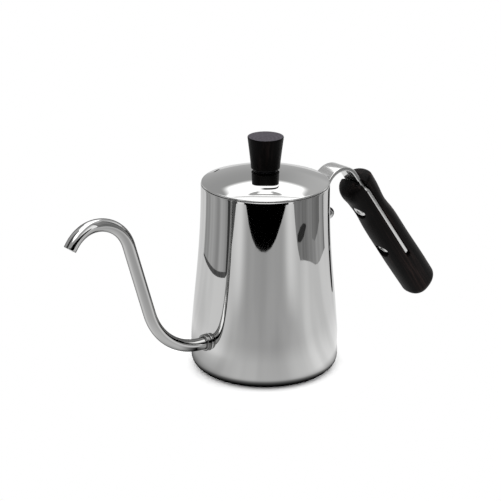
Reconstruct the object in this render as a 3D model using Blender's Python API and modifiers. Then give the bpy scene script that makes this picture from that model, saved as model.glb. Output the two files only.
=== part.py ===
"""Gooseneck pour-over kettle, about 350 ml.

Sizes are in millimetres and scaled to metres when built; +Z is up.  The origin
is the centre of the resting face.  The spout leaves the pot along -X, the
handle along +X.  Apart from the steam slot in the lid, the shape is laid out
evenly about the plane y = 0.  Touching pieces keep a small clearance, so every
piece is a separate solid.
"""
import bpy
import bmesh
from math import sin, cos, pi, radians, sqrt, atan2, exp, hypot, copysign
from mathutils import Vector, Matrix

MM = 0.001
GAP = 0.30                     # clearance between neighbouring pieces
STEPS_BODY = 40                # segments around the large turned pieces
STEPS_SMALL = 20
ALONG_X = pi / 2               # axis angles that lay +Z along +X or -X
ALONG_MINUS_X = -pi / 2

# --------------------------------------------------- shared screw hardware
M4_R = 2.0
M4_BORE_R = 2.35
THREAD_CHAMFER = 0.4
HEAD_R = 3.95
HEAD_H = 2.4
HEX_SOCKET_R = 1.45
INSERT_R = 3.0                 # threaded brass inserts
INSERT_BORE_R = INSERT_R + GAP
# Pan head: (fraction of the head radius, distance from the head's top)
PAN_HEAD = [(0, 0), (0.55, 0.10), (0.85, 0.55), (1, 1.3), (1, HEAD_H)]

# ================================================================== scene
for ob in list(bpy.data.objects):
    bpy.data.objects.remove(ob, do_unlink=True)

kettle = bpy.data.collections.new("gooseneck_kettle")
cutters = bpy.data.collections.new("cutters")
bpy.context.scene.collection.children.link(kettle)
bpy.context.scene.collection.children.link(cutters)


# ============================================================== materials
def material(name, colour, metallic, roughness):
    mat = bpy.data.materials.new(name)
    mat.use_nodes = True
    shader = mat.node_tree.nodes["Principled BSDF"]
    shader.inputs["Base Color"].default_value = (*colour, 1.0)
    shader.inputs["Metallic"].default_value = metallic
    shader.inputs["Roughness"].default_value = roughness
    return mat


def steel(name, roughness):
    return material(name, (0.78, 0.78, 0.77), metallic=1.0, roughness=roughness)


def brass(name):
    return material(name, (0.70, 0.52, 0.24), metallic=1.0, roughness=0.3)


def wood(name, roughness):
    return material(name, (0.017, 0.012, 0.011), metallic=0.0, roughness=roughness)


# ================================================================ helpers
def link(ob, collection, mat=None):
    for old in list(ob.users_collection):
        old.objects.unlink(ob)
    collection.objects.link(ob)
    if mat is not None:
        ob.data.materials.append(mat)
    return ob


def clockwise(points, closed):
    """Order a profile so that its outer side runs from top to bottom."""
    loop = list(points)
    if not closed:
        loop += [(0.0, points[-1][1]), (0.0, points[0][1])]
    area = 0.0
    for (r0, z0), (r1, z1) in zip(loop, loop[1:] + loop[:1]):
        area += r0 * z1 - r1 * z0
    return points if area < 0 else points[::-1]


def turned(name, profile, mat, steps=STEPS_SMALL, closed=True,
           location=(0, 0, 0), axis_angle=0.0):
    """A turned piece: a profile (radius, height) with a Screw modifier.
    axis_angle tips the piece's axis from +Z towards +X."""
    points = clockwise(profile, closed)
    count = len(points)
    edges = [(i, i + 1) for i in range(count - 1)]
    if closed:
        edges.append((count - 1, 0))
    mesh = bpy.data.meshes.new(name)
    mesh.from_pydata([(r * MM, 0.0, z * MM) for r, z in points], edges, [])
    ob = bpy.data.objects.new(name, mesh)
    ob.location = [c * MM for c in location]
    ob.rotation_euler = (0.0, axis_angle, 0.0)
    link(ob, kettle, mat)
    turn = ob.modifiers.new("turn", "SCREW")
    turn.axis = "Z"
    turn.angle = 2 * pi
    turn.steps = turn.render_steps = steps
    turn.use_merge_vertices = True
    turn.merge_threshold = 0.00001
    turn.use_smooth_shade = True
    return ob


def ring_profile(outer_r, bottom, top):
    """Rectangular section of a ring with an M4 clearance bore."""
    return [(outer_r, top), (outer_r, bottom), (M4_BORE_R, bottom), (M4_BORE_R, top)]


def as_cutter(ob):
    link(ob, cutters)
    ob.hide_render = True
    ob.display_type = "WIRE"
    return ob


def cylinder_cutter(name, radius, z0, z1, location=(0, 0, 0), axis_angle=0.0,
                    vertices=STEPS_SMALL):
    """A round (or hexagonal) cutter from z0 to z1 along its own axis."""
    bpy.ops.mesh.primitive_cylinder_add(vertices=vertices, radius=radius * MM,
                                        depth=(z1 - z0) * MM)
    ob = bpy.context.object
    ob.name = name
    ob.matrix_world = (Matrix.Translation([c * MM for c in location])
                       @ Matrix.Rotation(axis_angle, 4, "Y")
                       @ Matrix.Translation((0, 0, (z0 + z1) / 2 * MM)))
    return as_cutter(ob)


def box_cutter(name, size, matrix):
    bpy.ops.mesh.primitive_cube_add(size=1.0)
    ob = bpy.context.object
    ob.name = name
    ob.matrix_world = matrix @ Matrix.Diagonal((*[side * MM for side in size], 1))
    return as_cutter(ob)


def cut(ob, cutter):
    difference = ob.modifiers.new("cut_" + cutter.name, "BOOLEAN")
    difference.operation = "DIFFERENCE"
    difference.solver = "EXACT"
    difference.object = cutter


def pan_screw(name, head_top, tip, mat, location=(0, 0, 0), axis_angle=0.0):
    """A pan-head screw whose shank points up its axis, with a hex socket."""
    profile = [(HEAD_R * fraction, head_top + depth) for fraction, depth in PAN_HEAD]
    profile += [(M4_R, head_top + HEAD_H), (M4_R, tip - THREAD_CHAMFER),
                (M4_R - THREAD_CHAMFER, tip), (0, tip)]
    ob = turned(name, profile, mat, closed=False, location=location, axis_angle=axis_angle)
    cut(ob, cylinder_cutter(name + "_hex", HEX_SOCKET_R, head_top - 1.0, head_top + 1.5,
                            location=location, axis_angle=axis_angle, vertices=6))
    return ob


# A path is a list of (x, z, heading in degrees).
def arc(path, radius, turn, step=6.0):
    """Continue a path along an arc that turns by `turn` degrees."""
    x, z, heading = path[-1]
    side = 1.0 if turn > 0 else -1.0
    centre_x = x - side * radius * sin(radians(heading))
    centre_z = z + side * radius * cos(radians(heading))
    pieces = max(2, int(round(abs(turn) / step)))
    for i in range(1, pieces + 1):
        angle = heading + turn * i / pieces
        path.append((centre_x + side * radius * sin(radians(angle)),
                     centre_z - side * radius * cos(radians(angle)), angle))


def straight(path, length, pieces=1):
    x, z, heading = path[-1]
    for i in range(1, pieces + 1):
        reach = length * i / pieces
        path.append((x + reach * cos(radians(heading)), z + reach * sin(radians(heading)),
                     heading))


def ramp(value, start, length):
    """0 before start, rising evenly to 1 over the length."""
    return min(max((value - start) / length, 0.0), 1.0)


def smooth_ramp(value, start, length):
    t = ramp(value, start, length)
    return 3 * t * t - 2 * t ** 3


def bump(value, centre, width):
    return exp(-((value - centre) / width) ** 2)


# ==================================================================== pot
POT_HEIGHT = 93.3              # top of the pot's rim
POT_WIDE_R = 36.5              # widest outer radius, just above the base
POT_CORNER_R = 5.0             # rounding of the base corner
POT_FOOT_R = POT_WIDE_R - POT_CORNER_R
POT_RIM_R = 31.25              # outer radius at the rim
POT_RIM_ROUND = 0.4
POT_HOLE_R = 27.5              # hole in the base, closed by the bottom plate
POT_SHEET = 0.8
POT_CYL_TOP = 14.0             # end of the straight part, where the taper starts
TAPER_POWER = 0.74             # how early the taper happens
WALL_STATIONS = 12             # divisions of the wall's height
WALL_SPACING = 1.1             # above 1, the stations crowd towards the base
CORNER_STATIONS = 5

TUBE_R = 3.0
SPOUT_Z = 19.8                 # height of the spout's root


def pot_radius(z):
    """Outer radius of the pot above the base corner."""
    if z <= POT_CYL_TOP:
        return POT_WIDE_R
    t = (z - POT_CYL_TOP) / (POT_HEIGHT - POT_CYL_TOP)
    return POT_RIM_R + (POT_WIDE_R - POT_RIM_R) * 0.5 * (1 + cos(pi * t ** TAPER_POWER))


def pot_outer():
    """Outer line of the pot from the rim down to the base hole."""
    line = []
    wall_height = POT_HEIGHT - POT_RIM_ROUND - POT_CORNER_R
    for i in range(WALL_STATIONS + 1):
        z = POT_CORNER_R + wall_height * (1 - i / WALL_STATIONS) ** WALL_SPACING
        line.append((pot_radius(z), z))
    for i in range(1, CORNER_STATIONS + 1):
        angle = radians(90.0 * i / CORNER_STATIONS)
        line.append((POT_FOOT_R + POT_CORNER_R * cos(angle),
                     POT_CORNER_R - POT_CORNER_R * sin(angle)))
    line.append((POT_HOLE_R, 0.0))
    return line


def offset_line(line, distance):
    """The same line moved towards the inside of the pot."""
    moved = []
    for i, (r, z) in enumerate(line):
        before = line[max(i - 1, 0)]
        after = line[min(i + 1, len(line) - 1)]
        dr = after[0] - before[0]
        dz = after[1] - before[1]
        length = hypot(dr, dz)
        moved.append((r + distance * dz / length, z - distance * dr / length))
    return moved


def build_pot():
    outer = pot_outer()
    inner = offset_line(outer, POT_SHEET)
    inner[-1] = (POT_HOLE_R, POT_SHEET)
    rim = [(POT_RIM_R - POT_SHEET + 0.1, POT_HEIGHT - 0.15),      # inside to outside
           (POT_RIM_R - POT_RIM_ROUND, POT_HEIGHT),
           (POT_RIM_R - 0.15, POT_HEIGHT - 0.1)]
    shell = turned("body_shell", outer + inner[::-1] + rim, steel("body_steel", 0.08),
                   steps=STEPS_BODY)
    cut(shell, cylinder_cutter("spout_hole", TUBE_R + GAP, 30.0, 42.0,
                               location=(0, 0, SPOUT_Z), axis_angle=ALONG_MINUS_X,
                               vertices=24))


def build_bottom_plate():
    """Disc that fills the base hole, as thick as the pot's sheet."""
    radius = POT_HOLE_R - GAP
    turned("bottom_plate", [(0, POT_SHEET), (radius, POT_SHEET), (radius, 0), (0, 0)],
           steel("plate_steel", 0.25), steps=STEPS_BODY, closed=False)


build_pot()
build_bottom_plate()

# ================================================================== spout
TUBE_WALL = 0.5
SPOUT_IN = 34.4                # root end, just inside the wall
SPOUT_BEND_X = 39.0            # where the first bend starts
BEND_1_R = 33.0
LIMB_ANGLE = 73.4              # slope of the straight limb (degrees)
SPOUT_TOP = 93.5               # highest point of the centreline
BEND_2_R = 19.0
BEND_3_R = 15.2
TIP_ANGLE = 54.0               # how far the tip points down (degrees)
TIP_LENGTH = 2.4
BORE_OVERRUN = 3.0             # how far the bore passes each end of the tube
COLLAR_R = 4.1
COLLAR_X0, COLLAR_X1 = 36.8, 38.9      # distances from the pot's axis


def spout_path(extra=0.0):
    """Centreline of the spout as (distance from the pot's axis, height, heading).
    extra lengthens both ends."""
    path = [(SPOUT_IN - extra, SPOUT_Z, 0.0)]
    straight(path, SPOUT_BEND_X - SPOUT_IN + extra)
    arc(path, BEND_1_R, LIMB_ANGLE)
    rise = BEND_2_R * (1 - cos(radians(LIMB_ANGLE)))
    limb = (SPOUT_TOP - rise - path[-1][1]) / sin(radians(LIMB_ANGLE))
    straight(path, limb, 3)
    arc(path, BEND_2_R, -LIMB_ANGLE)
    arc(path, BEND_3_R, -TIP_ANGLE)
    straight(path, TIP_LENGTH + extra)
    return path


def tube(name, path, radius):
    """A capped round rod along a path towards -X, as a plain welded mesh."""
    curve = bpy.data.curves.new(name, "CURVE")
    curve.dimensions = "3D"
    curve.twist_mode = "MINIMUM"
    curve.bevel_depth = radius * MM
    curve.bevel_resolution = 3
    curve.use_fill_caps = True
    spline = curve.splines.new("POLY")
    spline.points.add(len(path) - 1)
    for point, (x, z, _) in zip(spline.points, path):
        point.co = (-x * MM, 0.0, z * MM, 1.0)
    source = bpy.data.objects.new(name, curve)
    bpy.context.scene.collection.objects.link(source)
    bpy.context.view_layer.update()
    depsgraph = bpy.context.evaluated_depsgraph_get()
    mesh = bpy.data.meshes.new_from_object(source.evaluated_get(depsgraph))
    bpy.data.objects.remove(source, do_unlink=True)

    bm = bmesh.new()
    bm.from_mesh(mesh)
    bmesh.ops.remove_doubles(bm, verts=bm.verts, dist=0.000001)
    bmesh.ops.recalc_face_normals(bm, faces=bm.faces)
    bm.to_mesh(mesh)
    bm.free()
    return bpy.data.objects.new(name, mesh)


def build_spout_tube():
    ob = link(tube("spout_tube", spout_path(), TUBE_R), kettle, steel("spout_steel", 0.07))
    cut(ob, as_cutter(tube("spout_bore", spout_path(BORE_OVERRUN), TUBE_R - TUBE_WALL)))


def build_spout_collar():
    bore_r = TUBE_R + GAP
    turned("spout_collar",
           [(COLLAR_R - 0.3, COLLAR_X1), (COLLAR_R, COLLAR_X1 - 0.35), (COLLAR_R, COLLAR_X0),
            (bore_r, COLLAR_X0), (bore_r, COLLAR_X1)],
           steel("collar_steel", 0.10), steps=24,
           location=(0, 0, SPOUT_Z), axis_angle=ALONG_MINUS_X)


build_spout_tube()
build_spout_collar()

# ==================================================================== lid
LID_R = POT_RIM_R - 0.25       # the lid stops just short of the pot's rim
LID_DOME_R = LID_R - 0.15      # where the dome meets the edge
LID_EDGE_Z = POT_HEIGHT + GAP  # underside of the lid's edge
LID_EDGE_T = 0.55
LID_DOME = 5.75                # rise of the dome above the edge
LID_SHEET = 0.6
LID_FLAT_R = 6.0               # small flat under the knob
LID_RINGS = 7
STEAM_SLOT_SIZE = (1.4, 5.5, 8.0)      # radial, tangential, vertical
STEAM_SLOT_R, STEAM_SLOT_Z = 26.6, 95.5
STEAM_SLOT_ANGLE = 113.0       # from +X towards +Y (degrees)
SKIRT_R = 29.8
SKIRT_T = 0.6
SKIRT_Z0 = 85.4
SKIRT_TOP = LID_EDGE_Z - 0.2
SKIRT_FLANGE_R = SKIRT_R - 2.2         # inner edge of the flange at the top
SKIRT_BEVEL = 0.3


def lid_top(r):
    """Upper surface of the lid's low dome, flat under the knob."""
    r = max(r, LID_FLAT_R)
    span = 1 - (LID_FLAT_R / LID_DOME_R) ** 2
    return LID_EDGE_Z + LID_EDGE_T + LID_DOME * (1 - (r / LID_DOME_R) ** 2) / span


LID_FLAT_TOP = lid_top(0)
LID_FLAT_UNDER = LID_FLAT_TOP - LID_SHEET


def build_lid_cover():
    radii = [LID_FLAT_R + (LID_DOME_R - LID_FLAT_R) * i / LID_RINGS
             for i in range(1, LID_RINGS + 1)]
    profile = [(M4_BORE_R, LID_FLAT_TOP), (LID_FLAT_R, LID_FLAT_TOP)]
    profile += [(r, lid_top(r)) for r in radii]
    profile += [(LID_R, LID_EDGE_Z + LID_EDGE_T - 0.2), (LID_R, LID_EDGE_Z),
                (LID_R - 1.0, LID_EDGE_Z)]
    profile += [(r - 0.15, lid_top(r) - LID_SHEET) for r in radii[-2::-1]]
    profile += [(LID_FLAT_R, LID_FLAT_UNDER), (M4_BORE_R, LID_FLAT_UNDER)]
    cover = turned("lid_cover", profile, steel("lid_steel", 0.08), steps=STEPS_BODY)

    angle = radians(STEAM_SLOT_ANGLE)
    centre = (STEAM_SLOT_R * cos(angle) * MM, STEAM_SLOT_R * sin(angle) * MM, STEAM_SLOT_Z * MM)
    cut(cover, box_cutter("steam_slot", STEAM_SLOT_SIZE,
                          Matrix.Translation(centre) @ Matrix.Rotation(angle, 4, "Z")))
    return cover


def build_lid_skirt():
    return turned(
        "lid_skirt",
        [(SKIRT_FLANGE_R, SKIRT_TOP), (SKIRT_R - SKIRT_BEVEL, SKIRT_TOP),
         (SKIRT_R, SKIRT_TOP - SKIRT_BEVEL), (SKIRT_R, SKIRT_Z0 + 0.8),
         (SKIRT_R - SKIRT_BEVEL, SKIRT_Z0), (SKIRT_R - SKIRT_T, SKIRT_Z0),
         (SKIRT_R - SKIRT_T, SKIRT_TOP - SKIRT_T), (SKIRT_FLANGE_R, SKIRT_TOP - SKIRT_T)],
        steel("skirt_steel", 0.2), steps=STEPS_BODY)


# ------------------------------------------- knob and its screw stack
STACK_GAP = 0.25               # above and below the knob's spacer
SPACER_T = 0.55
SPACER_Z = LID_FLAT_TOP + STACK_GAP
KNOB_BASE_Z = SPACER_Z + SPACER_T + STACK_GAP
KNOB_TOP_Z = 116.7
KNOB_HEIGHT = KNOB_TOP_Z - KNOB_BASE_Z
KNOB_BASE_R = 7.0
KNOB_TOP_R = 8.8
KNOB_EDGE = 0.5                # rounding of the top edge
KNOB_FOOT_BEVEL = 0.4
KNOB_FLARE = 1.15              # above 1, the flare comes later towards the top
KNOB_BORE_DEPTH = 9.4
KNOB_RINGS = 6
WASHER_T = 0.8
WASHER_TOP = LID_FLAT_UNDER - GAP
WASHER_UNDER = WASHER_TOP - WASHER_T


def knob_radius(z):
    """The knob flares gently from its foot to its top."""
    t = (z - KNOB_BASE_Z) / KNOB_HEIGHT
    return KNOB_BASE_R + (KNOB_TOP_R - KNOB_BASE_R) * t ** KNOB_FLARE


def build_knob():
    profile = [(0, KNOB_TOP_Z), (KNOB_TOP_R - KNOB_EDGE, KNOB_TOP_Z),
               (KNOB_TOP_R - 0.15, KNOB_TOP_Z - 0.15), (KNOB_TOP_R, KNOB_TOP_Z - KNOB_EDGE)]
    side_height = KNOB_HEIGHT - KNOB_EDGE - KNOB_FOOT_BEVEL
    for i in range(1, KNOB_RINGS + 1):
        z = KNOB_TOP_Z - KNOB_EDGE - side_height * i / KNOB_RINGS
        profile.append((knob_radius(z), z))
    bore_top = KNOB_BASE_Z + KNOB_BORE_DEPTH
    profile += [(KNOB_BASE_R - KNOB_FOOT_BEVEL, KNOB_BASE_Z), (INSERT_BORE_R, KNOB_BASE_Z),
                (INSERT_BORE_R, bore_top), (0, bore_top)]
    return turned("knob", profile, wood("knob_wood", 0.35), steps=28, closed=False)


def build_knob_hardware():
    """Spacer, brass insert, washer and the screw that comes up through the lid."""
    return [
        turned("knob_spacer", ring_profile(5.4, SPACER_Z, SPACER_Z + SPACER_T),
               steel("knob_spacer_steel", 0.2)),
        turned("knob_insert", ring_profile(INSERT_R, KNOB_BASE_Z + 0.6, KNOB_BASE_Z + 8.8),
               brass("knob_insert_brass")),
        turned("knob_washer", ring_profile(4.6, WASHER_UNDER, WASHER_TOP),
               steel("knob_washer_steel", 0.2)),
        pan_screw("knob_screw", WASHER_UNDER - GAP - HEAD_H, KNOB_BASE_Z + 8.0,
                  steel("knob_screw_steel", 0.2)),
    ]


def lid_empty(name):
    empty = bpy.data.objects.new(name, None)
    empty.empty_display_size = 0.02
    kettle.objects.link(empty)
    return empty


def attach(ob, empty):
    """Parent a piece to an empty at rim height and leave it in place."""
    ob.parent = empty
    ob.matrix_parent_inverse = Matrix.Translation((0, 0, -POT_HEIGHT * MM))


# The skirt follows the lift axis only; the other lid pieces also turn.
lift_axis = lid_empty("lid_lift_axis")
lift_axis.location = (0, 0, POT_HEIGHT * MM)
turn_axis = lid_empty("lid_turn_axis")
turn_axis.parent = lift_axis
attach(build_lid_skirt(), lift_axis)
for ob in [build_lid_cover(), build_knob(), *build_knob_hardware()]:
    attach(ob, turn_axis)

# =========================================================== handle strap
STRAP_T = 2.0
STRAP_NECK = 11.0              # width of the leg and the bend
STRAP_TANG = 15.5              # width inside the grip
LEG_X = 35.6                   # centreline of the leg
LEG_Z0 = 41.0
LEG_CORNER_R = 3.5
LEG_FOOT_MARKS = (0.35, 1.0, 2.0, LEG_CORNER_R)        # heights above the foot
STRAP_BEND_Z = 81.3            # centre height of the bend
STRAP_BEND_R = 10.83
HANDLE_DROP = 53.4             # slope of the tang and the grip (degrees)
SHOULDER_X, SHOULDER_Z = 62.2, 78.2
SHOULDER_RUN = 4.5             # finely divided length before the shoulder
SHOULDER_PAST = 1.2            # and past it
WIDEN_FROM, WIDEN_LENGTH = -3.0, 3.4   # neck to tang width, from the shoulder
TANG_LENGTH = 51.6
TANG_CORNER_R = 3.0
TANG_END_MARKS = (0, 1.2, 2.2, 2.7, TANG_CORNER_R)     # along the rounded end
FIX_UPPER_Z, FIX_LOWER_Z = 69.0, 45.0
GRIP_SCREW_U = (11.5, 42.0)    # along the tang, from the shoulder

DROP = radians(HANDLE_DROP)
ALONG = Vector((cos(DROP), 0.0, -sin(DROP)))      # down the handle
OUT = Vector((sin(DROP), 0.0, cos(DROP)))         # away from the pot
TILT = atan2(OUT.x, OUT.z)
SHOULDER = Vector((SHOULDER_X, 0.0, SHOULDER_Z))


def on_handle(along, out=0.0):
    """A point down the tang from the shoulder and away from the pot."""
    return SHOULDER + ALONG * along + OUT * out


def strap_path():
    """Centreline of the strap, from the leg's foot to the tang's end."""
    path = [(LEG_X, LEG_Z0, 90.0)]
    for mark in LEG_FOOT_MARKS:
        path.append((LEG_X, LEG_Z0 + mark, 90.0))
    path.append((LEG_X, (LEG_Z0 + STRAP_BEND_Z) / 2, 90.0))
    path.append((LEG_X, STRAP_BEND_Z, 90.0))
    arc(path, STRAP_BEND_R, -(90.0 + HANDLE_DROP), step=9.0)
    x, z, _ = path[-1]
    to_shoulder = (SHOULDER - Vector((x, 0, z))).dot(ALONG)
    straight(path, to_shoulder - SHOULDER_RUN)
    straight(path, SHOULDER_RUN, 5)
    straight(path, SHOULDER_PAST, 2)
    straight(path, TANG_LENGTH - (SHOULDER_PAST + TANG_CORNER_R), 3)
    for start, end in zip(TANG_END_MARKS, TANG_END_MARKS[1:]):
        straight(path, end - start)
    return path


def strap_width(x, z):
    """Full width of the strap at a point of its centreline."""
    from_shoulder = Vector((x - SHOULDER_X, 0, z - SHOULDER_Z))
    along = from_shoulder.dot(ALONG)
    on_tang = x > SHOULDER_X - 4 and abs(from_shoulder.dot(OUT)) < 0.5
    if on_tang and along > WIDEN_FROM:
        widening = smooth_ramp(along, WIDEN_FROM, WIDEN_LENGTH)
        width = STRAP_NECK + (STRAP_TANG - STRAP_NECK) * widening
        corner = TANG_CORNER_R
        to_end = TANG_LENGTH - along
    else:
        width = STRAP_NECK
        corner = LEG_CORNER_R
        on_leg = x < LEG_X + 0.1
        to_end = z - LEG_Z0 if on_leg else corner
    if to_end < corner:
        inset = corner - max(to_end, 0.0)
        width -= 2 * (corner - sqrt(max(corner ** 2 - inset ** 2, 0.0)))
    return max(width, STRAP_NECK - 2 * LEG_CORNER_R)


def build_strap():
    verts = []
    for x, z, _ in strap_path():
        half = strap_width(x, z) / 2
        verts += [(x * MM, y * MM, z * MM) for y in (-half, 0.0, half)]
    faces = []
    for row in range(0, len(verts) - 3, 3):
        for a in (row, row + 1):
            faces.append((a, a + 1, a + 4, a + 3))
    mesh = bpy.data.meshes.new("handle_strap")
    mesh.from_pydata(verts, [], faces)
    strap = link(bpy.data.objects.new("handle_strap", mesh), kettle,
                 steel("strap_steel", 0.12))
    sheet = strap.modifiers.new("sheet", "SOLIDIFY")
    sheet.thickness = STRAP_T * MM
    sheet.offset = 0.0
    sheet.use_even_offset = True
    for i, z in enumerate((FIX_UPPER_Z, FIX_LOWER_Z)):
        cut(strap, cylinder_cutter(f"leg_hole_{i}", M4_BORE_R, 30.0, 40.0,
                                   location=(0, 0, z), axis_angle=ALONG_X))
    for i, along in enumerate(GRIP_SCREW_U):
        cut(strap, cylinder_cutter(f"tang_hole_{i}", M4_BORE_R, -5.0, 5.0,
                                   location=on_handle(along), axis_angle=TILT))


build_strap()

# ------------------------------------------------ strap-to-pot fasteners
# Positions along these pieces are x distances from the pot's axis.
HEX_AF = 7.0                           # across the flats
HEX_CORNER_R = HEX_AF / 2 / cos(pi / 6)
STRAP_INNER_X = LEG_X - STRAP_T / 2
NUT_X0 = LEG_X + STRAP_T / 2 + GAP     # both nuts start outside the strap
NUT_H = 2.2
CAP_NUT_HEX_H = 3.2
CAP_NUT_TIP = 44.9
CAP_NUT_ROOF = 2.2                     # from the bore's end to the tip
DOME_RISE = 0.9                        # straight part below the dome
DOME_R = HEX_AF / 2 - 0.15
UPPER_STUD_TIP, LOWER_STUD_TIP = 42.0, 39.3
UPPER_WALL = pot_radius(FIX_UPPER_Z) + GAP
LOWER_WALL = pot_radius(FIX_LOWER_Z) + GAP

fastener_steel = steel("fastener_steel", 0.15)


def strap_stud(name, z, wall, tip):
    turned(name, [(0, tip), (M4_R - THREAD_CHAMFER, tip), (M4_R, tip - THREAD_CHAMFER),
                  (M4_R, wall), (0, wall)],
           fastener_steel.copy(), closed=False, location=(0, 0, z), axis_angle=ALONG_X)


def build_cap_nut(name, z):
    """Domed hexagon nut with a blind bore."""
    hex_end = NUT_X0 + CAP_NUT_HEX_H
    dome_start = hex_end + DOME_RISE
    bore_end = CAP_NUT_TIP - CAP_NUT_ROOF
    profile = []
    for i in range(7):
        angle = radians(90.0 * i / 6)
        profile.append((DOME_R * sin(angle),
                        dome_start + (CAP_NUT_TIP - hex_end - DOME_RISE) * cos(angle)))
    profile += [(DOME_R, hex_end), (HEX_CORNER_R, hex_end), (HEX_CORNER_R, NUT_X0),
                (M4_BORE_R, NUT_X0), (M4_BORE_R, bore_end), (0, bore_end)]
    nut = turned(name, profile, fastener_steel, steps=18, closed=False,
                 location=(0, 0, z), axis_angle=ALONG_X)
    axis = Matrix.Translation((0, 0, z * MM)) @ Matrix.Rotation(ALONG_X, 4, "Y")
    box_depth = 6.0
    box_offset = Matrix.Translation(((HEX_AF / 2 + box_depth / 2) * MM, 0,
                                     ((NUT_X0 + hex_end) / 2 - 0.2) * MM))
    for i in range(6):
        place = axis @ Matrix.Rotation(i * pi / 3, 4, "Z") @ box_offset
        cut(nut, box_cutter(f"{name}_flat_{i}",
                            (box_depth, 12.0, hex_end - NUT_X0 + 0.4), place))


strap_stud("strap_stud_upper", FIX_UPPER_Z, UPPER_WALL, UPPER_STUD_TIP)
turned("strap_spacer_upper", ring_profile(4.2, UPPER_WALL + 0.05, STRAP_INNER_X - GAP),
       fastener_steel.copy(), location=(0, 0, FIX_UPPER_Z), axis_angle=ALONG_X)
build_cap_nut("cap_nut_upper", FIX_UPPER_Z)
strap_stud("strap_stud_lower", FIX_LOWER_Z, LOWER_WALL, LOWER_STUD_TIP)
turned("strap_nut_lower", ring_profile(HEX_CORNER_R, NUT_X0, NUT_X0 + NUT_H),
       fastener_steel, steps=6, location=(0, 0, FIX_LOWER_Z), axis_angle=ALONG_X)

# ============================================================ wooden grip
GRIP_U0, GRIP_U1 = -6.9, 82.8  # along the tang, from the shoulder
GRIP_HALF_WIDTH = 8.2
GRIP_ROUNDNESS = 0.86          # section exponent: 1 is an ellipse, less is squarer
GRIP_TOP_ROUND, GRIP_LOW_ROUND = 4.2, 6.6      # end rounding, in thickness
WIDTH_TOP_ROUND, WIDTH_LOW_ROUND = 2.4, 6.0    # end rounding, in width
TOP_BLUNT, LOW_BLUNT = 1.12, 1.05      # above 1, an end keeps a small flat
AROUND = 20
TOP_STATIONS, MIDDLE_STATIONS, LOW_STATIONS = 5, 14, 6
STRAP_SLOT_END = TANG_LENGTH + 0.6
STRAP_SLOT_OVERRUN = 10        # how far the slot's cutter passes the upper end
# Heights along a grip screw, from the tang's centre and away from the pot
SCREW_HEAD_TOP = -7.6
SCREW_TIP = 6.6
COUNTERBORE_R = HEAD_R + 0.4
INSERT_FROM, INSERT_TO = 1.7, 7.2


def half_outer(u):
    """Half-thickness away from the pot: a waist near the top, fuller lower down."""
    return 9.6 - 1.3 * bump(u, 14.5, 8.0) + 0.6 * smooth_ramp(u, 38.0, 30.0)


def half_inner(u):
    """Half-thickness towards the pot: an ear at the top, then a waist."""
    ear = 0.9 * bump(u, -0.5, 4.0) - 0.6 * bump(u, 15.0, 7.0)
    return 8.6 + 0.3 * smooth_ramp(u, 10.0, 25.0) + ear - 0.4 * ramp(u, 55.0, 20.0)


def end_round(u, top_round, low_round):
    """1 along the grip, falling towards both rounded ends."""
    from_top = u - GRIP_U0
    if from_top < top_round:
        return sqrt(1 - ((top_round - from_top) / (top_round * TOP_BLUNT)) ** 2)
    from_low = GRIP_U1 - u
    if from_low < low_round:
        return sqrt(1 - ((low_round - from_low) / (low_round * LOW_BLUNT)) ** 2)
    return 1.0


def grip_stations():
    us = [GRIP_U0 + GRIP_TOP_ROUND * (1 - cos(radians(90.0 * i / TOP_STATIONS)))
          for i in range(TOP_STATIONS)]
    start = GRIP_U0 + GRIP_TOP_ROUND + 0.2
    end = GRIP_U1 - GRIP_LOW_ROUND
    us += [start + (end - start) * i / (MIDDLE_STATIONS - 1) for i in range(MIDDLE_STATIONS)]
    us += [end + GRIP_LOW_ROUND * sin(radians(90.0 * i / LOW_STATIONS))
           for i in range(1, LOW_STATIONS + 1)]
    return us


def squared(value):
    return copysign(abs(value) ** GRIP_ROUNDNESS, value)


def grip_mesh():
    bm = bmesh.new()
    loops = []
    for u in grip_stations():
        thickness = end_round(u, GRIP_TOP_ROUND, GRIP_LOW_ROUND)
        half_width = GRIP_HALF_WIDTH * end_round(u, WIDTH_TOP_ROUND, WIDTH_LOW_ROUND)
        loop = []
        for k in range(AROUND):
            angle = 2 * pi * k / AROUND
            side = half_outer(u) if cos(angle) > 0 else half_inner(u)
            point = on_handle(u, side * thickness * squared(cos(angle)))
            y = half_width * squared(sin(angle))
            loop.append(bm.verts.new((point.x * MM, y * MM, point.z * MM)))
        loops.append(loop)
    for upper, lower in zip(loops, loops[1:]):
        for k in range(AROUND):
            j = (k + 1) % AROUND
            bm.faces.new((upper[k], upper[j], lower[j], lower[k]))
    bm.faces.new(loops[0][::-1])
    bm.faces.new(loops[-1])
    bmesh.ops.recalc_face_normals(bm, faces=bm.faces)
    mesh = bpy.data.meshes.new("wooden_grip")
    bm.to_mesh(mesh)
    bm.free()
    return mesh


def build_grip():
    grip = link(bpy.data.objects.new("wooden_grip", grip_mesh()), kettle,
                wood("grip_wood", 0.38))
    middle = on_handle((GRIP_U0 - STRAP_SLOT_OVERRUN + STRAP_SLOT_END) / 2)
    length = STRAP_SLOT_END - GRIP_U0 + STRAP_SLOT_OVERRUN
    cut(grip, box_cutter("strap_slot", (length, 40.0, STRAP_T + 2 * GAP),
                         Matrix.Translation(middle * MM) @ Matrix.Rotation(TILT, 4, "Y")))
    for i, along in enumerate(GRIP_SCREW_U):
        for name, radius, z0, z1, vertices in (
                ("counterbore", COUNTERBORE_R, -16.0, SCREW_HEAD_TOP + HEAD_H + GAP, 24),
                ("clearance", M4_BORE_R, -6.0, 0.0, STEPS_SMALL),
                ("insert_bore", INSERT_BORE_R, 0.0, INSERT_TO + GAP, STEPS_SMALL)):
            cut(grip, cylinder_cutter(f"{name}_{i}", radius, z0, z1, vertices=vertices,
                                      location=on_handle(along), axis_angle=TILT))


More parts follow.
